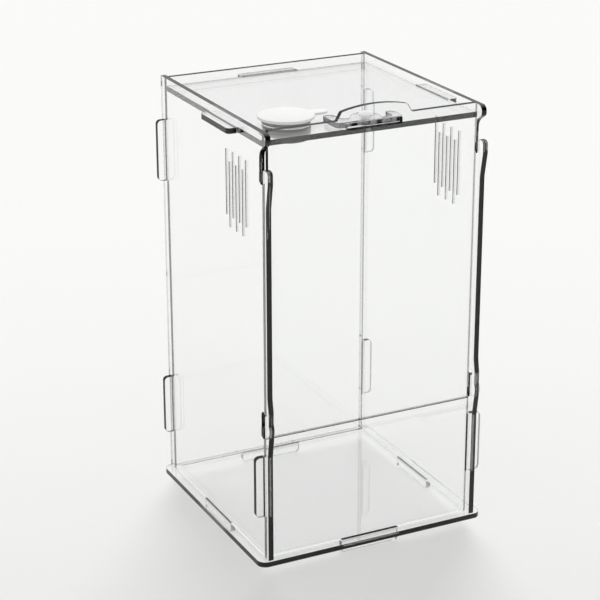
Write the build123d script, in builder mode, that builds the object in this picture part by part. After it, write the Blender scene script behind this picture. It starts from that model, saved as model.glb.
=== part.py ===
import os

from build123d import *

os.makedirs("parts", exist_ok=True)

# Acrylic mini terrarium: laser-cut sheets that slot together, with a lift-out front door.
# Millimetres. X runs to the right, Y to the back, Z up.
# The origin is the middle of the footprint, on the surface that the four lower tabs stand on.

# Sheets and the tabs that join them
sheet = 3.0
seat = 0.1
tab_length = 35.0
tab_reach = 5.0
tab_corner = 2.3

# Case
case_width = 128.0
case_depth = 136.0
wall_height = 237.3
wall_front_inset = 1.0
front_margin = 4.0
rear_margin = 3.0
sill_height = 70.0
sill_tab_rise = 42.5
rear_tab_rise = 41.3
rear_tab_drop = 41.5

# Base plate, as wide as the side tabs reach
base_width = case_width + 2 * tab_reach
base_corner = 5.0

# Top plate
top_margin = 4.6
top_tab_back = 45.0
top_front_gap = 0.4

# Door and its handle
door_rise = 0.8
door_side_gap = 0.4
door_sill_gap = 0.3
door_shoulder_corner = 0.8
door_tab_height = 5.0
door_tab_seat = 1.15
door_tab_proud = 0.3
handle_foot = 21.8
handle_shoulder = 19.2
handle_shoulder_rise = 4.5
handle_rise = 6.8
handle_round = 1.5

# Hooks in the side walls that hold the upper tabs of the door
hook_rear_gap = 0.35
hook_front_gap = 1.15
hook_drop = 26.9
hook_round = 2.2
hook_finger_height = 8.3
hook_forward = 2.4
hook_tip_round = 2.2
hook_straight = 7.0
hook_taper = 13.0
nose_round = 3.2
nose_height = 5.2
recess_top = 10.1
recess_round = 6.5

# Closed windows in the side walls for the lower tabs of the door. The wall swells forward
# beside them: height above the foot of the window, reach forward, and rounding.
window_height = 15.4
swell = ((24.5, 0.0, 8.0), (17.0, 1.35, 6.0), (10.2, 1.35, 4.0),
         (7.7, 2.2, 1.5), (5.7, 2.2, 6.0), (-9.3, 0.0, 12.0))

# Air slits in the side walls
slit_count = 7
slit_pitch = 4.05
slit_width = 0.8
slit_length = 36.0
slit_back = 41.3
slit_drop = 19.1
slit_step = 6.1

# Turn latch, set out from the middle of its hub, and the push rivet that it turns on
latch_back = 8.5
latch_hub = 8.0
thumb_x = (-19.6, -13.8)
arm_y = (-6.2, 0.8)
thumb_rear = 9.6
tongue_x = (13.5, 18.2)
tongue_rear = 4.0
bar_rear = -4.9
latch_gap = 0.2
slot_half = 16.0
slot_play = 0.35
slot_round = 1.0
rivet_radius = 2.0
rivet_play = 0.1
rivet_wall = 0.8
rivet_flange = 3.3
rivet_flange_height = 0.9
rivet_barb = 0.4
rivet_below = 2.2
rivet_split = 0.7
pin_play = 0.1
pin_head = 4.2
pin_dome = 1.7

# Feeding port plug
plug_from_wall = 24.6
plug_back = 26.3
plug_radius = 12.25
plug_play = 0.15
plug_flange = 15.0
plug_edge = 1.4
plug_dome = 2.4
plug_depth = 8.1
plug_collar = 12.8
plug_collar_height = 2.2
plug_wall = 1.6
plug_ceiling = 0.4
plug_tab_width = 8.0
plug_tab_end = 23.5

# Levels
base_bottom = tab_reach
base_top = base_bottom + sheet
wall_bottom = base_top + seat
wall_top = base_top + wall_height
plate_top = wall_top - top_margin
plate_bottom = plate_top - sheet
sill_top = base_top + sill_height
door_bottom = sill_top + door_sill_gap + seat
door_top = wall_top + door_rise
hook_level = wall_top - hook_drop
window_level = door_bottom - seat
sill_tab_level = base_top + sill_tab_rise
rear_low_level = base_top + rear_tab_rise
rear_high_level = wall_top - rear_tab_drop

# Faces
wall_outer = case_width / 2
wall_inner = wall_outer - sheet
wall_middle = wall_outer - sheet / 2
wall_front = -case_depth / 2 + wall_front_inset
wall_rear = case_depth / 2
front_face = wall_front + front_margin
front_back = front_face + sheet
front_middle = front_face + sheet / 2
rear_face = wall_rear - rear_margin
rear_inner = rear_face - sheet
rear_middle = rear_face - sheet / 2
slot_rear = front_back + hook_rear_gap
slot_front = front_face - hook_front_gap
plate_front = front_back + top_front_gap
panel_half = wall_inner - seat
tab_end = wall_outer + tab_reach
slot_length = tab_length + 2 * seat
slot_width = sheet + 2 * seat

# Places on the top plate, set out from the door and the left wall
latch_place = (0.0, front_back + latch_back)
plug_place = (-wall_inner + plug_from_wall, front_back + plug_back)
top_tab_place = front_back + top_tab_back


def finish(part, name):
    part.label = name
    export_step(part, f"parts/{name}.step")


def round_tab_ends(sketch, axis, ends):
    corners = sketch.vertices().group_by(axis)
    for end in ends:
        fillet(corners[end], tab_corner)
        corners = sketch.vertices().group_by(axis)


# Base plate, with one slot for each sheet that stands on it
with BuildPart() as base_plate:
    with BuildSketch(Plane.XY.offset(base_bottom)):
        RectangleRounded(base_width, case_depth, base_corner)
        with Locations((-wall_middle, 0), (wall_middle, 0)):
            Rectangle(slot_width, slot_length, mode=Mode.SUBTRACT)
        with Locations((0, front_middle), (0, rear_middle)):
            Rectangle(slot_length, slot_width, mode=Mode.SUBTRACT)
    extrude(amount=sheet)
finish(base_plate.part, "base_plate")


# Front edge of a side wall, from the top down: a nose, a recess that ends in the hook for the
# upper tab of the door, a plain length, and the swelling beside the lower window
def wall_front_edge():
    hook_front = wall_front - hook_forward
    finger_top = hook_level + hook_finger_height
    straight_end = finger_top - hook_straight
    corners = [
        ((wall_front, wall_top), nose_round),
        ((wall_front, wall_top - nose_height), nose_round * 0.75),
        ((slot_rear, wall_top - recess_top), recess_round),
        ((slot_rear, hook_level), hook_round),
        ((slot_front, hook_level), hook_round),
        ((slot_front, finger_top), 1.2),
        ((hook_front, finger_top), hook_tip_round),
        ((hook_front, straight_end), 8.0),
        ((wall_front, straight_end - hook_taper), 12.0),
    ]
    corners += [((wall_front - forward, window_level + height), rounding)
                for height, forward, rounding in swell]
    return corners


def side_wall(inner_face, outward):
    wall_plane = Plane.YZ.offset(inner_face)
    with BuildPart() as wall:
        with BuildSketch(wall_plane) as outline:
            with BuildLine():
                corners = wall_front_edge()
                points = [(wall_rear, wall_top)]
                points += [point for point, radius in corners]
                points += [(wall_front, wall_bottom)]
                edge = FilletPolyline(*points, radius=[radius for point, radius in corners])
                Polyline(edge @ 1, (wall_rear, wall_bottom), edge @ 0)
            make_face()
            with Locations((0, wall_bottom)):
                Rectangle(tab_length, wall_bottom, align=(Align.CENTER, Align.MAX))
            round_tab_ends(outline, Axis.Y, [0])
        extrude(amount=outward * sheet)
        with BuildSketch(wall_plane):
            with Locations((front_middle, sill_tab_level), (rear_middle, rear_low_level),
                           (rear_middle, rear_high_level)):
                Rectangle(slot_width, slot_length)
            with Locations(((slot_rear + slot_front) / 2, window_level + window_height / 2)):
                SlotOverall(window_height, slot_rear - slot_front, rotation=90)
            with Locations((top_tab_place, plate_top - sheet / 2)):
                Rectangle(slot_length, slot_width)
            for index in range(slit_count):
                place = front_back + slit_back - index * slit_pitch
                with Locations((place, wall_top - slit_drop - slit_step * (index % 2))):
                    Rectangle(slit_width, slit_length, align=(Align.CENTER, Align.MAX))
        extrude(amount=outward * sheet, mode=Mode.SUBTRACT)
    return wall.part


finish(side_wall(-wall_inner, -1), "left_wall")
finish(side_wall(wall_inner, 1), "right_wall")


# Back wall, with two tabs through each side wall and one through the base
with BuildPart() as back_wall:
    with BuildSketch(Plane.XZ.offset(-rear_inner)) as outline:
        with Locations((0, wall_bottom)):
            Rectangle(2 * panel_half, wall_top - wall_bottom, align=(Align.CENTER, Align.MIN))
            Rectangle(tab_length, wall_bottom, align=(Align.CENTER, Align.MAX))
        with Locations((0, rear_low_level), (0, rear_high_level)):
            Rectangle(2 * tab_end, tab_length)
        round_tab_ends(outline, Axis.X, [0, -1])
        round_tab_ends(outline, Axis.Y, [0])
        with Locations((0, plate_top - sheet / 2)):
            Rectangle(slot_length, slot_width, mode=Mode.SUBTRACT)
    extrude(amount=-sheet)
finish(back_wall.part, "back_wall")


# Fixed lower front panel, which the door stands above
with BuildPart() as front_sill:
    with BuildSketch(Plane.XZ.offset(-front_back)) as outline:
        with Locations((0, wall_bottom)):
            Rectangle(2 * panel_half, sill_top - wall_bottom, align=(Align.CENTER, Align.MIN))
            Rectangle(tab_length, wall_bottom, align=(Align.CENTER, Align.MAX))
        with Locations((0, sill_tab_level)):
            Rectangle(2 * tab_end, tab_length)
        round_tab_ends(outline, Axis.X, [0, -1])
        round_tab_ends(outline, Axis.Y, [0])
    extrude(amount=sheet)
finish(front_sill.part, "front_sill")


# Top plate, let in below the wall tops, with the feeding port and the rivet hole
with BuildPart() as top_plate:
    with BuildSketch(Plane.XY.offset(plate_bottom)) as outline:
        with Locations((0, plate_front)):
            Rectangle(2 * panel_half, rear_inner - seat - plate_front,
                      align=(Align.CENTER, Align.MIN))
        with Locations((0, rear_inner - seat)):
            Rectangle(tab_length, rear_face + tab_reach - rear_inner + seat,
                      align=(Align.CENTER, Align.MIN))
        with Locations((0, top_tab_place)):
            Rectangle(2 * tab_end, tab_length)
        round_tab_ends(outline, Axis.X, [0, -1])
        round_tab_ends(outline, Axis.Y, [-1])
        with Locations(plug_place):
            Circle(plug_radius + plug_play, mode=Mode.SUBTRACT)
        with Locations(latch_place):
            Circle(rivet_radius + rivet_play, mode=Mode.SUBTRACT)
    extrude(amount=sheet)
finish(top_plate.part, "top_plate")


# Door: a flat panel with four side tabs, a raised handle and the latch slot
latch_bottom = plate_top + latch_gap
latch_top = latch_bottom + sheet
door_half = wall_inner - door_side_gap
handle_level = door_top + handle_shoulder_rise
with BuildPart() as door:
    with BuildSketch(Plane.XZ.offset(-front_back)):
        with BuildLine():
            Polyline((-handle_shoulder, handle_level), (-handle_foot, door_top),
                     (-door_half, door_top), (-door_half, door_bottom),
                     (door_half, door_bottom), (door_half, door_top),
                     (handle_foot, door_top), (handle_shoulder, handle_level))
            ThreePointArc((handle_shoulder, handle_level), (0, door_top + handle_rise),
                          (-handle_shoulder, handle_level))
        door_face = make_face()
        shoulders = door_face.vertices().filter_by_position(
            Axis.Y, handle_level - 0.1, handle_level + 0.1)
        fillet(shoulders, handle_round)
        for slot_foot in (window_level, hook_level):
            with Locations((0, slot_foot + door_tab_seat)):
                Rectangle(2 * (wall_outer + door_tab_proud), door_tab_height,
                          align=(Align.CENTER, Align.MIN))
        with Locations((0, (latch_bottom + latch_top) / 2)):
            RectangleRounded(2 * slot_half, sheet + 2 * slot_play, slot_round,
                             mode=Mode.SUBTRACT)
    extrude(amount=sheet)
    upright = door.edges().filter_by(Axis.Y)
    top_corners = upright.filter_by_position(Axis.Z, door_top - 0.1, door_top + 0.1)
    fillet(top_corners.filter_by(lambda edge: abs(edge.center().X) > door_half - 0.1),
           door_shoulder_corner)
finish(door.part, "door")


# Turn latch: a hub on a flat bar, with a thumb end on the left and a hooked tongue on the right,
# which goes through the slot of the door and lies in front of it when the latch is turned
def latch_block(x_run, y_run):
    with Locations(((x_run[0] + x_run[1]) / 2, (y_run[0] + y_run[1]) / 2)):
        Rectangle(x_run[1] - x_run[0], y_run[1] - y_run[0])


latch_corners = [
    ((thumb_x[0], thumb_rear), 1.5),
    ((thumb_x[1], thumb_rear), 4.0),
    ((thumb_x[0], arm_y[0]), 3.0),
    ((thumb_x[1], arm_y[1]), 2.5),
    ((-(latch_hub ** 2 - arm_y[1] ** 2) ** 0.5, arm_y[1]), 2.0),
    ((-(latch_hub ** 2 - arm_y[0] ** 2) ** 0.5, arm_y[0]), 2.0),
    (((latch_hub ** 2 - bar_rear ** 2) ** 0.5, bar_rear), 0.8),
    ((tongue_x[0], bar_rear), 1.5),
    ((tongue_x[0], tongue_rear), 0.8),
    ((tongue_x[1], tongue_rear), 3.6),
    ((tongue_x[1], -latch_hub), 3.0),
]
with BuildPart() as latch:
    with BuildSketch(Plane((*latch_place, latch_bottom))) as outline:
        Circle(latch_hub)
        latch_block((thumb_x[0], 0), arm_y)
        latch_block(thumb_x, (arm_y[0], thumb_rear))
        latch_block((0, tongue_x[1]), (-latch_hub, bar_rear))
        latch_block(tongue_x, (-latch_hub, tongue_rear))
        for place, rounding in latch_corners:
            fillet(outline.vertices().sort_by_distance((*place, 0))[0], rounding)
        Circle(rivet_radius + rivet_play, mode=Mode.SUBTRACT)
    extrude(amount=sheet)
finish(latch.part, "latch")


# Push rivet body: a flange, and a split shank whose barbs hold under the top plate
flange_bottom = latch_top + seat
flange_top = flange_bottom + rivet_flange_height
shank_end = plate_bottom - rivet_below
barb_level = plate_bottom - seat
bore_radius = rivet_radius - rivet_wall
rivet_axis = Axis((latch_place[0], latch_place[1], 0), (0, 0, 1))
rivet_plane = Plane(origin=(latch_place[0], latch_place[1], 0), x_dir=(1, 0, 0), z_dir=(0, -1, 0))
with BuildPart() as rivet_body:
    with BuildSketch(rivet_plane):
        with BuildLine():
            Polyline((bore_radius, flange_top), (rivet_flange, flange_top),
                     (rivet_flange, flange_bottom), (rivet_radius, flange_bottom),
                     (rivet_radius, barb_level), (rivet_radius + rivet_barb, barb_level),
                     (rivet_radius - rivet_barb, shank_end), (bore_radius, shank_end),
                     close=True)
        make_face()
    revolve(axis=rivet_axis)
    with BuildSketch(Plane.XY.offset(shank_end)):
        with Locations(latch_place):
            Rectangle(3 * rivet_radius, rivet_split)
    extrude(amount=plate_bottom - shank_end, mode=Mode.SUBTRACT)
finish(rivet_body.part, "rivet_body")


# Push rivet pin: a domed head, and the pin that spreads the split shank
head_bottom = flange_top + seat
head_top = head_bottom + pin_dome
pin_radius = bore_radius - pin_play
with BuildPart() as rivet_pin:
    with BuildSketch(rivet_plane):
        with BuildLine():
            Polyline((0, head_top), (0, shank_end), (pin_radius, shank_end),
                     (pin_radius, head_bottom), (pin_head, head_bottom))
            TangentArc((0, head_top), (pin_head, head_bottom), tangent=(1, 0))
        make_face()
    revolve(axis=rivet_axis)
finish(rivet_pin.part, "rivet_pin")


# Feeding port plug: a domed flange on a hollow skirt, with a pull tab on its right.
# A collar under the flange stops the plug with the flange above the plate.
collar_bottom = plate_top + seat
flange_level = collar_bottom + plug_collar_height
skirt_end = plate_top - plug_depth
plug_crown = flange_level + plug_edge + plug_dome
ceiling = flange_level + plug_ceiling
plug_axis = Axis((plug_place[0], plug_place[1], 0), (0, 0, 1))
plug_plane = Plane(origin=(plug_place[0], plug_place[1], 0), x_dir=(1, 0, 0), z_dir=(0, -1, 0))
with BuildPart() as feeding_plug:
    with BuildSketch(plug_plane):
        with BuildLine():
            skirt_inner = plug_radius - plug_wall
            Polyline((0, plug_crown), (0, ceiling), (skirt_inner, ceiling),
                     (skirt_inner, skirt_end), (plug_radius, skirt_end),
                     (plug_radius, collar_bottom), (plug_collar, collar_bottom),
                     (plug_collar, flange_level), (plug_flange, flange_level),
                     (plug_flange, flange_level + plug_edge))
            TangentArc((0, plug_crown), (plug_flange, flange_level + plug_edge), tangent=(1, 0))
        make_face()
    revolve(axis=plug_axis)
    with BuildSketch(Plane.XY.offset(flange_level)):
        with Locations((plug_place[0] + plug_tab_end - plug_tab_width / 2, plug_place[1])):
            Circle(plug_tab_width / 2)
        with Locations((plug_place[0] + plug_radius, plug_place[1])):
            Rectangle(plug_tab_end - plug_radius - plug_tab_width / 2, plug_tab_width,
                      align=(Align.MIN, Align.CENTER))
    extrude(amount=plug_edge)
finish(feeding_plug.part, "feeding_plug")
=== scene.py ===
# %% [markdown]
# # A clear acrylic mini terrarium
# The object is a tall case of 3 mm clear sheets that slot together, with a white plug in its
# feeding port and a white push rivet under its turn latch.
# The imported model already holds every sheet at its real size, so this lesson adds what it lacks:
# the camera, a light tent, the look of laser-cut acrylic, and the white pieces with the small
# roundings that a mould leaves.
#
# ## Load the frame
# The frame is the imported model. Its sheets stay as they are, and everything new takes its place
# and size from their boxes, so a change in the model carries through.

# %% Load the frame
import math

import bpy
import numpy as np
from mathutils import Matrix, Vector


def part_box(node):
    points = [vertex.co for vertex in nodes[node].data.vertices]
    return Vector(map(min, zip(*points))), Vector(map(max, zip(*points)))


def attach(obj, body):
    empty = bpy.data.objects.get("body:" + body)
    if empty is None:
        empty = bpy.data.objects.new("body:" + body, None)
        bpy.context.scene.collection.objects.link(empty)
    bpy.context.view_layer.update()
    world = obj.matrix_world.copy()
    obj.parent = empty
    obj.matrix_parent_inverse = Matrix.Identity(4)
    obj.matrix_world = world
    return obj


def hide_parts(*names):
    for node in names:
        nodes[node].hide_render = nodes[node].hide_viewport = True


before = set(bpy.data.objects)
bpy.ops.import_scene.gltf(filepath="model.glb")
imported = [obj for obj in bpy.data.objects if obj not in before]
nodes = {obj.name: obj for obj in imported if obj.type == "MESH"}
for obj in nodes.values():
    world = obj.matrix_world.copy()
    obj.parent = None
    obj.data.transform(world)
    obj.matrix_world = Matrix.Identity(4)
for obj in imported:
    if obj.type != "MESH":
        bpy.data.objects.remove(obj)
scene = bpy.context.scene
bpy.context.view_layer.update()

# %% [markdown]
# ## The camera
# The photograph was taken with a long lens, from above and from the left of the door. The
# upright edges stay nearly parallel, and that is what a long lens does. One could set the camera
# by eye and move it until the edges fall in place. Here its place, turn and lens are plain
# numbers, found by fitting the straight edges of the case, which is quicker to repeat.

# %% Camera
SENSOR_MM = 36.0
LENS_MM = 115.493
CAMERA_PLACE = (-0.4556, -0.8972, 0.5072)
CAMERA_TURN_DEG = (69.1867, 0.0795, -26.3494)

camera_data = bpy.data.cameras.new("camera")
camera_data.sensor_width = SENSOR_MM
camera_data.lens = LENS_MM
camera = bpy.data.objects.new("camera", camera_data)
scene.collection.objects.link(camera)
camera.location = CAMERA_PLACE
camera.rotation_euler = [math.radians(angle) for angle in CAMERA_TURN_DEG]
scene.camera = camera
scene.view_settings.view_transform = "Standard"
print("distance to the case in metres:", round(Vector(CAMERA_PLACE).length, 3))

# %% [markdown]
# ## Short light paths
# Light that enters the cut edge of a real sheet runs along inside it and is mirrored many times,
# and each cut face it meets is rough, so little of it comes back. The long edges therefore
# look nearly black in the photograph. Tracing all of those mirrorings would cost much time and
# still give clear edges, because the model's faces are perfect. Ending the mirrored paths after
# two turns gives the same dark edges at once. The clear faces keep all the turns they need.

# %% Light paths
scene.cycles.glossy_bounces = 2
scene.cycles.transmission_bounces = 12
scene.cycles.transparent_max_bounces = 24
scene.cycles.max_bounces = 16

# %% [markdown]
# ## Node helpers
# Materials here are small node trees. One helper adds a node and sets or links its inputs, so
# that each material reads as a list of what feeds what. An effect that several materials share
# is a node group: a second helper makes the empty group with its sockets.

# %% Node helpers


def add_node(tree, kind, inputs=None, **settings):
    """Adds a node, sets its properties, and sets or links its inputs by name or number."""
    node = tree.nodes.new(kind)
    for name, value in settings.items():
        setattr(node, name, value)
    for name, value in (inputs or {}).items():
        if isinstance(value, bpy.types.NodeSocket):
            tree.links.new(value, node.inputs[name])
        else:
            node.inputs[name].default_value = value
    return node


def new_material(name):
    """Makes an empty node material and returns it with its tree."""
    material = bpy.data.materials.new(name)
    material.use_nodes = True
    material.node_tree.nodes.clear()
    return material, material.node_tree


def new_group(name, inputs, outputs):
    """Makes a node group with named sockets and returns it with its input and output node."""
    group = bpy.data.node_groups.new(name, "ShaderNodeTree")
    for socket, kind in inputs.items():
        group.interface.new_socket(socket, in_out="INPUT", socket_type=kind)
    for socket, kind in outputs.items():
        group.interface.new_socket(socket, in_out="OUTPUT", socket_type=kind)
    return group, group.nodes.new("NodeGroupInput"), group.nodes.new("NodeGroupOutput")


print("node helpers:", add_node.__name__, new_material.__name__, new_group.__name__)

# %% [markdown]
# ## The cut edges of a sheet
# A laser melts its way through acrylic. The two faces of the sheet stay polished, and the cut
# between them keeps fine lines that run across the thickness. Painting a mask by hand would
# have to be done again after each change of an outline. A formula finds the cuts instead:
# a point is on a cut edge where its normal lies in the plane of the sheet, so the mask is one
# minus the part of the normal that points across the sheet. The lines are noise, squeezed
# along the cut and stretched across the thickness.
# The polished faces aren't quite flat either: cast sheet has slow, very low waves, which make a
# reflection swim a little. One height holds both, the lines on the cuts and the waves elsewhere.

# %% Cut edge group
FACE_COSINE = 0.9
CUT_COSINE = 0.2
CUT_LINES_PER_METRE = 900.0
CUT_LINES_DETAIL = 2.0
CUT_LINES_STRETCH = 0.97
FACE_WAVES_PER_METRE = 14.0
FACE_WAVES_DETAIL = 0.0
FACE_WAVE_SHARE = 0.6


def add_cut_mask(tree, normal, across):
    """Adds nodes that give 0 on a face and 1 on a cut, from |normal . across|."""
    facing = add_node(tree, "ShaderNodeVectorMath", {0: normal, 1: across},
                      operation="DOT_PRODUCT")
    facing_size = add_node(tree, "ShaderNodeMath", {0: facing.outputs["Value"]},
                           operation="ABSOLUTE")
    mask = add_node(tree, "ShaderNodeMapRange", {
        "Value": facing_size.outputs[0], "From Min": FACE_COSINE, "From Max": CUT_COSINE,
        "To Min": 0.0, "To Max": 1.0})
    return mask.outputs[0]


cut_edge, group_in, group_out = new_group(
    "cut edge", {"Across Sheet": "NodeSocketVector"},
    {"Edge": "NodeSocketFloat", "Relief": "NodeSocketFloat"})
place = add_node(cut_edge, "ShaderNodeTexCoord")
across = group_in.outputs["Across Sheet"]
edge_mask = add_cut_mask(cut_edge, place.outputs["Normal"], across)
depth = add_node(cut_edge, "ShaderNodeVectorMath", {0: place.outputs["Object"], 1: across},
                 operation="DOT_PRODUCT")
depth_share = add_node(cut_edge, "ShaderNodeMath", {0: depth.outputs["Value"],
                                                    1: CUT_LINES_STRETCH}, operation="MULTIPLY")
depth_part = add_node(cut_edge, "ShaderNodeVectorMath", {0: across,
                                                         "Scale": depth_share.outputs[0]},
                      operation="SCALE")
squeezed = add_node(cut_edge, "ShaderNodeVectorMath", {0: place.outputs["Object"],
                                                       1: depth_part.outputs[0]},
                    operation="SUBTRACT")
lines = add_node(cut_edge, "ShaderNodeTexNoise", {
    "Vector": squeezed.outputs[0], "Scale": CUT_LINES_PER_METRE,
    "Detail": CUT_LINES_DETAIL})
waves = add_node(cut_edge, "ShaderNodeTexNoise", {
    "Vector": place.outputs["Object"], "Scale": FACE_WAVES_PER_METRE,
    "Detail": FACE_WAVES_DETAIL})
low_waves = add_node(cut_edge, "ShaderNodeMath", {0: waves.outputs[0], 1: FACE_WAVE_SHARE},
                     operation="MULTIPLY")
relief = add_node(cut_edge, "ShaderNodeMix", {
    0: edge_mask, 2: low_waves.outputs[0], 3: lines.outputs[0]}, data_type="FLOAT")
cut_edge.links.new(edge_mask, group_out.inputs["Edge"])
cut_edge.links.new(relief.outputs[0], group_out.inputs["Relief"])
print("cut edge group nodes:", len(cut_edge.nodes))

# %% [markdown]
# ## Clear acrylic
# Acrylic bends light a little less than window glass: its index of refraction is 1.49. The
# faces are polished, and each pass through one takes about a hundredth of the light. The cut
# edges swallow more, so they get a grey tint, which is partly their own loss of light and partly
# painted shade. A tint alone can't darken light that is mirrored inside the sheet, though, and
# the thin dark outline of every tab and slot is just that. A small share of a dark, dull shader
# on the cuts paints that outline in as shade. How large the share is was found by comparing
# renders with the photograph.
# Under the front and the left sheet the photograph has a bright line instead, light mirrored
# inside the rim of the base plate, so the painted shade is left out there. Glue that has cleared
# the cut is a likely reason, so the smoke is left out there.
# Shadow rays don't bend, and a solid sheet would throw a black shadow. The material lets most
# of a shadow ray through instead, and most of the light that has left a dull surface, which is
# how a pane lights the table under it. Tracing real caustics would do it too, but far more
# slowly and with much noise. The level sheets let all of it through, and that is a shortcut.
# Each sheet lies across one axis, so there is one material for each axis, made by one function.

# %% Clear acrylic
ACRYLIC_IOR = 1.49
FACE_TINT = (0.985, 0.99, 0.99, 1.0)
# The grey tint of the cuts per axis: partly their own loss of light, partly painted shade.
EDGE_SHADE = (0.3, 0.8, 0.3)
# The share of painted shade on the cuts per axis, from a dark dull shader.
CUT_PAINTED_SHADE = (0.12, 0.55, 0.1)
PAINTED_SHADE_COLOUR = (0.03, 0.03, 0.03, 1.0)
SHADOW_CLEARNESS = (0.85, 0.85, 1.0)
ALL_THROUGH = (1.0, 1.0, 1.0, 1.0)
LINE_HEIGHT = 0.00001
LEVEL_COSINE = 0.9
# The rim of the base plate gets no painted shade: light mirrored inside it shows bright there.
MIRRORED_RIM_REACH = 0.001
MIRRORED_RIM_SUM = 0.006
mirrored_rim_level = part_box("base_plate")[1][2] + MIRRORED_RIM_REACH


def add_painted_shade_mask(tree, across_sheet):
    """Adds nodes that give 1 on the cuts that get painted shade, and 0 on the faces and the rim.

    A cut is left out where it is level, |normal z| > LEVEL_COSINE, down at the base plate's rim,
    z below the rim level, and under the front or the left sheet, x + y below the rim's limit;
    light mirrored inside the base plate shows bright there.
    z < mirrored_rim_level, and under the front or the left sheet, x + y < MIRRORED_RIM_SUM.
    """
    place = add_node(tree, "ShaderNodeTexCoord")
    mask = add_cut_mask(tree, place.outputs["Normal"], across_sheet)
    turned = add_node(tree, "ShaderNodeSeparateXYZ", {"Vector": place.outputs["Normal"]})
    level_size = add_node(tree, "ShaderNodeMath", {0: turned.outputs["Z"]}, operation="ABSOLUTE")
    level = add_node(tree, "ShaderNodeMath", {0: level_size.outputs[0], 1: LEVEL_COSINE},
                     operation="GREATER_THAN")
    where = add_node(tree, "ShaderNodeSeparateXYZ", {"Vector": place.outputs["Object"]})
    low_down = add_node(tree, "ShaderNodeMath", {0: where.outputs["Z"], 1: mirrored_rim_level},
                        operation="LESS_THAN")
    ground_sum = add_node(tree, "ShaderNodeMath", {0: where.outputs["X"], 1: where.outputs["Y"]},
                          operation="ADD")
    front_left = add_node(tree, "ShaderNodeMath", {0: ground_sum.outputs[0], 1: MIRRORED_RIM_SUM},
                          operation="LESS_THAN")
    low_cut = add_node(tree, "ShaderNodeMath", {0: level.outputs[0], 1: low_down.outputs[0]},
                       operation="MULTIPLY")
    mirrored_rim = add_node(tree, "ShaderNodeMath", {0: low_cut.outputs[0], 1: front_left.outputs[0]},
                       operation="MULTIPLY")
    painted_shade_share = add_node(tree, "ShaderNodeMath", {0: mask, 1: mirrored_rim.outputs[0]},
                      operation="SUBTRACT", use_clamp=True)
    return painted_shade_share.outputs[0]


def make_acrylic(name, across_sheet, edge_shade, cut_painted_shade, shadow_clearness):
    """Clear acrylic whose thickness runs along across_sheet, its cuts darkened by tint and painted
    shade.
    """
    material, tree = new_material(name)
    edge = add_node(tree, "ShaderNodeGroup", node_tree=cut_edge)
    edge.inputs["Across Sheet"].default_value = across_sheet
    tint = add_node(tree, "ShaderNodeMix", {
        0: edge.outputs["Edge"], 6: FACE_TINT, 7: (edge_shade, edge_shade, edge_shade, 1.0)},
        data_type="RGBA")
    bump = add_node(tree, "ShaderNodeBump", {"Distance": LINE_HEIGHT,
                                             "Height": edge.outputs["Relief"]})
    sheet = add_node(tree, "ShaderNodeBsdfPrincipled", {
        "Base Color": tint.outputs[2],
        "Roughness": 0.0,
        "Normal": bump.outputs[0],
        "IOR": ACRYLIC_IOR,
        "Transmission Weight": 1.0,
    })
    painted_shade_share = add_node(tree, "ShaderNodeMath", {0: add_painted_shade_mask(tree, across_sheet),
                                               1: cut_painted_shade}, operation="MULTIPLY")
    # Painted shade: a dark dull shader mixed onto the cuts.
    painted_shade_bsdf = add_node(tree, "ShaderNodeBsdfDiffuse", {"Color": PAINTED_SHADE_COLOUR})
    cut_sheet = add_node(tree, "ShaderNodeMixShader", {
        0: painted_shade_share.outputs[0], 1: sheet.outputs[0], 2: painted_shade_bsdf.outputs[0]})
    path = add_node(tree, "ShaderNodeLightPath")
    straight = add_node(tree, "ShaderNodeMath", {
        0: path.outputs["Is Shadow Ray"], 1: path.outputs["Is Diffuse Ray"]}, operation="MAXIMUM")
    share = add_node(tree, "ShaderNodeMath", {0: straight.outputs[0], 1: shadow_clearness},
                     operation="MULTIPLY")
    clear = add_node(tree, "ShaderNodeBsdfTransparent", {"Color": ALL_THROUGH})
    both = add_node(tree, "ShaderNodeMixShader", {0: share.outputs[0],
                                                  1: cut_sheet.outputs[0], 2: clear.outputs[0]})
    add_node(tree, "ShaderNodeOutputMaterial", {"Surface": both.outputs[0]})
    return material


acrylic_by_axis = {
    axis: make_acrylic(f"clear acrylic across {'xyz'[axis]}",
                       tuple(float(k == axis) for k in range(3)),
                       EDGE_SHADE[axis], CUT_PAINTED_SHADE[axis], SHADOW_CLEARNESS[axis])
    for axis in range(3)
}
WHITE_NODES = ("rivet_body", "rivet_pin", "feeding_plug")
for name, node in nodes.items():
    if name in WHITE_NODES:
        continue
    low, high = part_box(name)
    thin_axis = int(np.argmin(np.array(high) - np.array(low)))
    node.data.materials.clear()
    node.data.materials.append(acrylic_by_axis[thin_axis])
    print(name, "is thinnest along", "xyz"[thin_axis])

# %% [markdown]
# ## White moulded plastic
# The plug and the rivet are moulded in a soft white plastic. A mould gives its surface a very
# fine grain, and a slow waviness where the plastic shrank. Both are noise: one grain finer than
# the eye sees one by one, one as long as the piece. A plain white paint would do from afar, but
# its highlight would be too even and would make the plug look like paper.
# The skirt of the plug looks grey in the photograph, darker towards its lower end, where it hangs
# in shade under the flange and the plate. That shade is painted into the skirt's colour. Whether
# the plastic is thin there or just in shade can't be told, so the tone is given to the surface.

# %% White plastic
PLUG_WHITE = (0.97, 0.97, 0.96, 1.0)
RIVET_WHITE = (0.96, 0.96, 0.95, 1.0)
GRAIN_PER_METRE = 2500.0
GRAIN_DETAIL = 3.0
WAVE_PER_METRE = 60.0
WAVE_DETAIL = 1.0
WAVE_WEIGHT = 8.0
GRAIN_HEIGHT = 0.00001
NOISE_SPAN = (0.3, 0.7)
SHADE_SPAN = (0.97, 1.0)
ROUGHNESS_SPAN = (0.30, 0.42)
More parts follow.
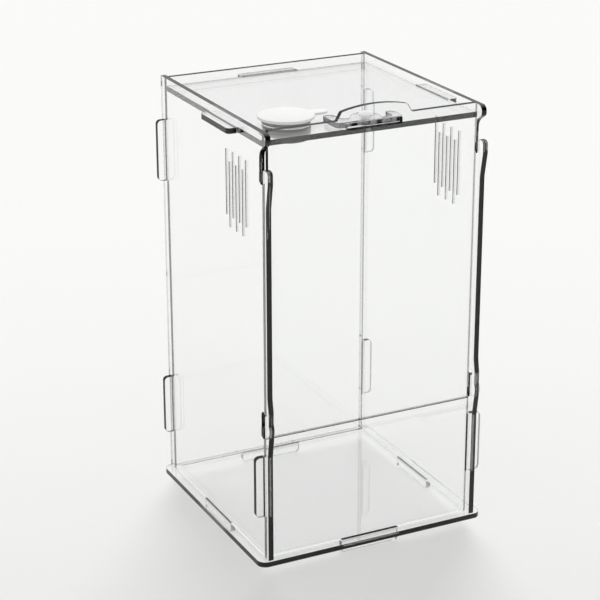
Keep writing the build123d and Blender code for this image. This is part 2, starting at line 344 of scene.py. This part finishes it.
# Painted shade on the plug's skirt: grey just above the plate, darker below it.
SKIRT_UPPER_PAINTED_SHADE = (0.33, 0.33, 0.33, 1.0)
SKIRT_LOWER_PAINTED_SHADE = (0.10, 0.10, 0.10, 1.0)
SKIRT_SHADE_ABOVE_PLATE = 0.0021
SKIRT_SHADE_BELOW_PLATE = 0.0012
plate_low, plate_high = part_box("top_plate")
painted_shade_heights = (plate_high[2] + SKIRT_SHADE_ABOVE_PLATE, plate_low[2] - SKIRT_SHADE_BELOW_PLATE)

moulded_skin, group_in, group_out = new_group(
    "moulded skin", {"White": "NodeSocketColor"},
    {"Color": "NodeSocketColor", "Roughness": "NodeSocketFloat", "Height": "NodeSocketFloat"})
place = add_node(moulded_skin, "ShaderNodeTexCoord")
grain = add_node(moulded_skin, "ShaderNodeTexNoise", {
    "Vector": place.outputs["Object"], "Scale": GRAIN_PER_METRE,
    "Detail": GRAIN_DETAIL})
wave = add_node(moulded_skin, "ShaderNodeTexNoise", {
    "Vector": place.outputs["Object"], "Scale": WAVE_PER_METRE,
    "Detail": WAVE_DETAIL})
shade = add_node(moulded_skin, "ShaderNodeMapRange", {
    "Value": wave.outputs[0], "From Min": NOISE_SPAN[0], "From Max": NOISE_SPAN[1],
    "To Min": SHADE_SPAN[0], "To Max": SHADE_SPAN[1]})
coloured = add_node(moulded_skin, "ShaderNodeVectorMath", {
    0: group_in.outputs["White"], "Scale": shade.outputs[0]}, operation="SCALE")
gloss = add_node(moulded_skin, "ShaderNodeMapRange", {
    "Value": grain.outputs[0], "From Min": NOISE_SPAN[0], "From Max": NOISE_SPAN[1],
    "To Min": ROUGHNESS_SPAN[0], "To Max": ROUGHNESS_SPAN[1]})
height = add_node(moulded_skin, "ShaderNodeMath", {
    0: wave.outputs[0], 1: WAVE_WEIGHT, 2: grain.outputs[0]}, operation="MULTIPLY_ADD")
moulded_skin.links.new(coloured.outputs[0], group_out.inputs["Color"])
moulded_skin.links.new(gloss.outputs[0], group_out.inputs["Roughness"])
moulded_skin.links.new(height.outputs[0], group_out.inputs["Height"])


def make_plastic(name, white, grain_height, skirt=None):
    """Moulded white plastic with a fine grain of the given height in metres.

    skirt is the pair of heights, upper and lower, between which the painted shade on a skirt
    deepens.
    """
    material, tree = new_material(name)
    skin = add_node(tree, "ShaderNodeGroup", node_tree=moulded_skin)
    skin.inputs["White"].default_value = white
    if skirt:
        # Painted shade: the skirt goes grey from just above the plate and darker downwards.
        place = add_node(tree, "ShaderNodeTexCoord")
        where = add_node(tree, "ShaderNodeSeparateXYZ", {"Vector": place.outputs["Object"]})
        depth = add_node(tree, "ShaderNodeMapRange", {
            "Value": where.outputs["Z"], "From Min": skirt[0], "From Max": skirt[1],
            "To Min": 0.0, "To Max": 1.0})
        painted_skirt_shade = add_node(tree, "ShaderNodeMix", {0: depth.outputs[0], 6: SKIRT_UPPER_PAINTED_SHADE,
                                                7: SKIRT_LOWER_PAINTED_SHADE}, data_type="RGBA")
        below = add_node(tree, "ShaderNodeMath", {0: where.outputs["Z"], 1: skirt[0]},
                         operation="LESS_THAN")
        white_with_painted_shade = add_node(tree, "ShaderNodeMix", {0: below.outputs[0], 6: white,
                                                      7: painted_skirt_shade.outputs[2]}, data_type="RGBA")
        tree.links.new(white_with_painted_shade.outputs[2], skin.inputs["White"])
    bump = add_node(tree, "ShaderNodeBump", {"Distance": grain_height,
                                             "Height": skin.outputs["Height"]})
    body = add_node(tree, "ShaderNodeBsdfPrincipled", {
        "Base Color": skin.outputs["Color"],
        "Roughness": skin.outputs["Roughness"],
        "Normal": bump.outputs[0],
        "IOR": ACRYLIC_IOR,
    })
    add_node(tree, "ShaderNodeOutputMaterial", {"Surface": body.outputs[0]})
    return material


plug_white = make_plastic("soft white plug", PLUG_WHITE, GRAIN_HEIGHT, painted_shade_heights)
rivet_white = make_plastic("white rivet", RIVET_WHITE, GRAIN_HEIGHT)
for name in WHITE_NODES:
    nodes[name].data.materials.clear()
    nodes[name].data.materials.append(plug_white if name == "feeding_plug" else rivet_white)
print("the skirt gets darker between", painted_shade_heights[0], "and", round(painted_shade_heights[1], 4))

# %% [markdown]
# ## Turned surfaces
# The plug and the pin of the rivet are round, so each is a profile swept once around an axis.
# The profile is a list of corners, and each corner but the first and last is rounded by an arc.
# A corner is rounded like this: the arc touches both sides at the distance
# radius / tan(half the corner's angle) from the corner, and its centre lies on the line that
# halves the angle. The model in the frame has the same outline with sharp rims. A bevel
# modifier could round those too, but it would round every edge by one width.

# %% Turned surfaces


def round_corners(corners, radii, steps=6):
    """Replaces each inner corner of an open outline by an arc, and returns the points."""
    corners = np.array(corners, float)
    points = [corners[0]]
    for before, corner, after, radius in zip(corners, corners[1:], corners[2:], radii):
        if radius == 0:
            points.append(corner)
            continue
        back = (before - corner) / np.linalg.norm(before - corner)
        ahead = (after - corner) / np.linalg.norm(after - corner)
        half_angle = math.acos(float(np.clip(back @ ahead, -1, 1))) / 2
        halving = (back + ahead) / np.linalg.norm(back + ahead)
        centre = corner + halving * radius / math.sin(half_angle)
        touch = corner + back * radius / math.tan(half_angle)
        far_touch = corner + ahead * radius / math.tan(half_angle)
        share = np.linspace(0, 1, steps)[:, None]
        chords = (1 - share) * touch + share * far_touch - centre
        points.extend(centre + chords * radius / np.linalg.norm(chords, axis=1, keepdims=True))
    points.append(corners[-1])
    return np.array(points)


def low_dome(crown, height, radius, steps=14):
    """Points (r, z) of a round cap from its crown down to its rim.

    The cap is part of a ball of radius (height^2 + radius^2) / (2 * height), so each point lies
    at z = crown - ball + sqrt(ball^2 - r^2).
    """
    ball = (height ** 2 + radius ** 2) / (2 * height)
    r = np.linspace(0, radius, steps)
    return list(zip(r, crown - ball + np.sqrt(ball ** 2 - r ** 2)))


def link_mesh(name, points, faces, material):
    """Makes a smooth shaded mesh object of points in metres at the origin."""
    mesh = bpy.data.meshes.new(name)
    mesh.from_pydata(np.asarray(points).tolist(), [], faces)
    mesh.polygons.foreach_set("use_smooth", np.ones(len(mesh.polygons), bool))
    mesh.materials.append(material)
    piece = bpy.data.objects.new(name, mesh)
    scene.collection.objects.link(piece)
    print(name, "has", len(mesh.vertices), "points and", len(mesh.polygons), "faces")
    return piece


def bridge_rings(start, rings, size):
    """Four-sided faces between neighbouring closed rings, whose first point is number start."""
    column = np.arange(size)
    after = (column + 1) % size
    row = start + size * np.arange(rings - 1)[:, None]
    corners = [row + column, row + size + column, row + size + after, row + after]
    return np.stack(corners, -1).reshape(-1, 4).tolist()


def turn_profile(profile, centre, turns=160):
    """Sweeps a profile of (radius, height) once around an upright axis.

    The profile runs from the axis on top, down the outside, to the axis below. Point (i, j) is
    centre + radius_i * (cos a_j, sin a_j) at height_i. The two ends on the axis are one point
    each, so the surface is closed.
    """
    angles = np.linspace(0, 2 * math.pi, turns, endpoint=False)
    rings = profile[1:-1]
    x = centre[0] + rings[:, :1] * np.cos(angles)
    y = centre[1] + rings[:, :1] * np.sin(angles)
    z = np.repeat(rings[:, 1:], turns, axis=1)
    points = np.concatenate([[(*centre, profile[0, 1])], np.stack([x, y, z], -1).reshape(-1, 3),
                             [(*centre, profile[-1, 1])]])
    column = np.arange(turns)
    after = (column + 1) % turns
    last_ring = 1 + (len(rings) - 1) * turns
    top_end = np.stack([np.zeros(turns, int), 1 + column, 1 + after], -1)
    low_end = np.stack([np.full(turns, len(points) - 1), last_ring + after, last_ring + column], -1)
    return points, top_end.tolist() + bridge_rings(1, len(rings), turns) + low_end.tolist()


print("surface helpers:", round_corners.__name__, turn_profile.__name__, low_dome.__name__)

# %% [markdown]
# ## The feeding port plug
# Its flange is a shallow dome that stands off the plate on a collar, over a hollow skirt that
# fills the port. Its place and main sizes come from the box of the imported plug and of the top
# plate: the flange is as wide as the plug is deep, the crown and the skirt's end are the box's top
# and bottom, and the pull tab reaches to its right end. The collar, the skirt's walls and the
# tab's width are given in millimetres. The rims are rounded by a few tenths of a millimetre, as
# moulded rims are.

# %% Plug
MM = 0.001
COLLAR_GAP = 0.1 * MM
COLLAR_HEIGHT = 2.2 * MM
COLLAR_RADIUS = 12.8 * MM
FLANGE_EDGE = 1.4 * MM
CEILING_RISE = 0.4 * MM
SKIRT_RADIUS = 12.25 * MM
SKIRT_INNER = 10.65 * MM
PLUG_ROUNDINGS = (0.5 * MM, 0.35 * MM, 0.3 * MM, 0.0, 0.0, 0.4 * MM, 0.4 * MM, 0.8 * MM)
TAB_HALF_WIDTH = 4.0 * MM
TAB_INSET = 0.05 * MM
TAB_ROUNDING = 0.4 * MM

plug_low, plug_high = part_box("feeding_plug")
plate_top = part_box("top_plate")[1][2]
flange_radius = (plug_high[1] - plug_low[1]) / 2
plug_centre = (plug_low[0] + flange_radius, (plug_low[1] + plug_high[1]) / 2)
crown = plug_high[2]
collar_bottom = plate_top + COLLAR_GAP
flange_bottom = collar_bottom + COLLAR_HEIGHT
flange_edge_top = flange_bottom + FLANGE_EDGE
ceiling = flange_bottom + CEILING_RISE

dome = low_dome(crown, crown - flange_edge_top, flange_radius)
plug_corners = dome + [
    (flange_radius, flange_bottom), (COLLAR_RADIUS, flange_bottom),
    (COLLAR_RADIUS, collar_bottom), (SKIRT_RADIUS, collar_bottom),
    (SKIRT_RADIUS, plug_low[2]), (SKIRT_INNER, plug_low[2]),
    (SKIRT_INNER, ceiling), (0, ceiling)]
plug_roundings = [0] * (len(dome) - 2) + list(PLUG_ROUNDINGS)
plug_profile = round_corners(plug_corners, plug_roundings)
plug_shell = link_mesh("plug_shell", *turn_profile(plug_profile, plug_centre), plug_white)
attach(plug_shell, "plug")
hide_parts("feeding_plug")


def rounded_tab(left, right, half_width, bottom, top, rounding, steps=5, arc_steps=24):
    """A flat tab along X on the plug's middle line, with a round right end and rounded rims.

    Each ring is the tab's outline drawn in by an inset. The rim is a quarter circle: the ring
    at the angle t lies rounding * (1 - cos t) below the top and is drawn in by
    rounding * (1 - sin t), for t from 0 on the flat to a quarter turn at the side.
    """
    t = np.linspace(0, math.pi / 2, steps)
    draw_in = rounding * (1 - np.sin(t))
    drop = rounding * (1 - np.cos(t))
    insets = np.concatenate([draw_in, draw_in[::-1]])
    levels = np.concatenate([top - drop, (bottom + drop)[::-1]])
    a = np.linspace(-math.pi / 2, math.pi / 2, arc_steps)
    outline_x = np.concatenate([np.cos(a), [0.0, 0.0]])
    outline_y = np.concatenate([np.sin(a), [1.0, -1.0]])
    reach = half_width - insets[:, None]
    x = right - half_width + outline_x * reach
    x[:, -2:] = left + insets[:, None]
    y = plug_centre[1] + outline_y * reach
    z = np.repeat(levels[:, None], len(outline_x), axis=1)
    points = np.stack([x, y, z], -1).reshape(-1, 3)
    ring = np.arange(len(outline_x))
    upper_end = [ring.tolist()]
    lower_end = [(len(points) - 1 - ring).tolist()]
    return points, upper_end + bridge_rings(0, len(levels), len(ring)) + lower_end


pull_tab = link_mesh("pull_tab", *rounded_tab(
    plug_centre[0] + SKIRT_RADIUS, plug_high[0], TAB_HALF_WIDTH,
    flange_bottom + TAB_INSET, flange_edge_top - TAB_INSET, TAB_ROUNDING), plug_white)
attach(pull_tab, "plug")

# %% [markdown]
# ## The pin of the rivet
# The pin is pushed down into the split shank and spreads it. Its head is a low dome with a
# soft rim. It is turned like the plug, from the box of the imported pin.

# %% Rivet pin
HEAD_GAP = 0.1 * MM
PIN_RADIUS = 1.1 * MM
PIN_ROUNDINGS = (0.18 * MM, 0.15 * MM, 0.3 * MM)

pin_low, pin_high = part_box("rivet_pin")
head_radius = (pin_high[0] - pin_low[0]) / 2
pin_centre = ((pin_low[0] + pin_high[0]) / 2, (pin_low[1] + pin_high[1]) / 2)
head_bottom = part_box("rivet_body")[1][2] + HEAD_GAP
head = low_dome(pin_high[2], pin_high[2] - head_bottom, head_radius)
pin_corners = head + [(PIN_RADIUS, head_bottom), (PIN_RADIUS, pin_low[2]), (0, pin_low[2])]
pin_roundings = [0] * (len(head) - 2) + list(PIN_ROUNDINGS)
pin_profile = round_corners(pin_corners, pin_roundings)
pin_shell = link_mesh("pin_shell", *turn_profile(pin_profile, pin_centre, turns=96), rivet_white)
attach(pin_shell, "case")
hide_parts("rivet_pin")

# %% [markdown]
# ## The light tent
# The photograph has no hard lamp: white cloth all around lights the case evenly. The world is
# that cloth. One broad lamp behind the case gives the soft shadow that falls towards the viewer.
# Clear pieces show what stands around them, so the cloth is seen brighter overhead, where it is
# lit, and has a dark opening at the front left, where such a tent is open. The opening is what
# makes the front cuts nearly black. It stays in place when the case is viewed from elsewhere.

# %% Light tent
TENT_LIGHT = 0.52
SUN_FROM = (0.38, 0.75, 1.0)
SUN_STRENGTH = 2.0
SUN_WIDTH_DEG = 28.0
CLOTH_WHITE = (1.0, 1.0, 1.0, 1.0)
WALL_SEEN = 0.80
CEILING_SEEN = 1.7
OVERHEAD_RISE = (0.35, 0.85)
OPENING_LIGHT = 0.02
OPENING_TOWARDS = (-0.4556, -0.8972, 0.5072)
BACKDROP_SEEN = 0.95
OPENING_COSINES = (0.15, 0.55)

world = bpy.data.worlds.new("light tent")
scene.world = world
world.use_nodes = True
world.node_tree.nodes.clear()
path = add_node(world.node_tree, "ShaderNodeLightPath")
sharp = add_node(world.node_tree, "ShaderNodeMath", {
    0: path.outputs["Is Glossy Ray"], 1: path.outputs["Is Transmission Ray"]},
    operation="MAXIMUM")
direction = add_node(world.node_tree, "ShaderNodeTexCoord")
towards_opening = add_node(world.node_tree, "ShaderNodeVectorMath", {
    0: direction.outputs["Object"], 1: Vector(OPENING_TOWARDS).normalized()},
    operation="DOT_PRODUCT")
in_opening = add_node(world.node_tree, "ShaderNodeMapRange", {
    "Value": towards_opening.outputs["Value"], "From Min": OPENING_COSINES[0],
    "From Max": OPENING_COSINES[1], "To Min": 0.0, "To Max": 1.0})
upward = add_node(world.node_tree, "ShaderNodeVectorMath", {
    0: direction.outputs["Object"], 1: (0.0, 0.0, 1.0)}, operation="DOT_PRODUCT")
overhead = add_node(world.node_tree, "ShaderNodeMapRange", {
    "Value": upward.outputs["Value"], "From Min": OVERHEAD_RISE[0],
    "From Max": OVERHEAD_RISE[1], "To Min": WALL_SEEN, "To Max": CEILING_SEEN})
tent_seen = add_node(world.node_tree, "ShaderNodeMix", {
    0: in_opening.outputs[0], 2: overhead.outputs[0], 3: OPENING_LIGHT}, data_type="FLOAT")
unseen = add_node(world.node_tree, "ShaderNodeMix", {
    0: path.outputs["Is Camera Ray"], 2: TENT_LIGHT, 3: BACKDROP_SEEN}, data_type="FLOAT")
strength = add_node(world.node_tree, "ShaderNodeMix", {
    0: sharp.outputs[0], 2: unseen.outputs[0], 3: tent_seen.outputs[0]}, data_type="FLOAT")
cloth = add_node(world.node_tree, "ShaderNodeBackground", {
    "Color": CLOTH_WHITE, "Strength": strength.outputs[0]})
add_node(world.node_tree, "ShaderNodeOutputWorld", {"Surface": cloth.outputs[0]})

sun_data = bpy.data.lights.new("lamp behind", "SUN")
sun_data.energy = SUN_STRENGTH
sun_data.angle = math.radians(SUN_WIDTH_DEG)
sun = bpy.data.objects.new("lamp behind", sun_data)
scene.collection.objects.link(sun)
sun.rotation_euler = (-Vector(SUN_FROM)).to_track_quat("-Z", "Y").to_euler()
sun.visible_glossy = False
sun.visible_transmission = False
print("light of the tent:", TENT_LIGHT, "and of the lamp behind:", SUN_STRENGTH)

# %% [markdown]
# ## The table
# The case stands on a plain pale table that runs out of the picture. In the photograph it gets
# lighter towards the back right, as the light falls off towards the front. That falloff is painted
# into the table's colour: the share of the painted near shade falls as
# exp(-(run - NEAR_RUN) / FADE_RUN), where run is a point's distance from the middle of the case
# along the direction in which the painted light grows.

# %% Table
TABLE_HALF = 6.0
PAINTED_LIGHT_TOWARDS = (0.4556, 0.8972, 0.0)
# Painted light falloff: the table's colour is darker near the front and lighter far back.
NEAR_PAINTED_SHADE = (0.835, 0.835, 0.82, 1.0)
FAR_PAINTED_LIGHT = (0.955, 0.957, 0.94, 1.0)
NEAR_RUN = -0.15
FADE_RUN = 0.25

table_mesh = bpy.data.meshes.new("table")
table_mesh.from_pydata([(-TABLE_HALF, -TABLE_HALF, 0), (TABLE_HALF, -TABLE_HALF, 0),
                        (TABLE_HALF, TABLE_HALF, 0), (-TABLE_HALF, TABLE_HALF, 0)], [],
                       [(0, 1, 2, 3)])
table = bpy.data.objects.new("table", table_mesh)
scene.collection.objects.link(table)
table_material, tree = new_material("pale table")
heading = Vector(PAINTED_LIGHT_TOWARDS).normalized()
place = add_node(tree, "ShaderNodeTexCoord")
run = add_node(tree, "ShaderNodeVectorMath", {0: place.outputs["Object"], 1: heading},
               operation="DOT_PRODUCT")
fades = add_node(tree, "ShaderNodeMath", {
    0: run.outputs["Value"], 1: -1 / FADE_RUN, 2: NEAR_RUN / FADE_RUN}, operation="MULTIPLY_ADD")
near_shade_share = add_node(tree, "ShaderNodeMath", {0: fades.outputs[0]}, operation="EXPONENT")
# Painted light falloff across the table, from the near shade to the far light.
painted_light_falloff = add_node(tree, "ShaderNodeMix", {
    0: near_shade_share.outputs[0], 6: FAR_PAINTED_LIGHT, 7: NEAR_PAINTED_SHADE}, data_type="RGBA")
paper = add_node(tree, "ShaderNodeBsdfDiffuse", {"Color": painted_light_falloff.outputs[2]})
add_node(tree, "ShaderNodeOutputMaterial", {"Surface": paper.outputs[0]})
table_mesh.materials.append(table_material)
print("the table is", 2 * TABLE_HALF, "metres wide")
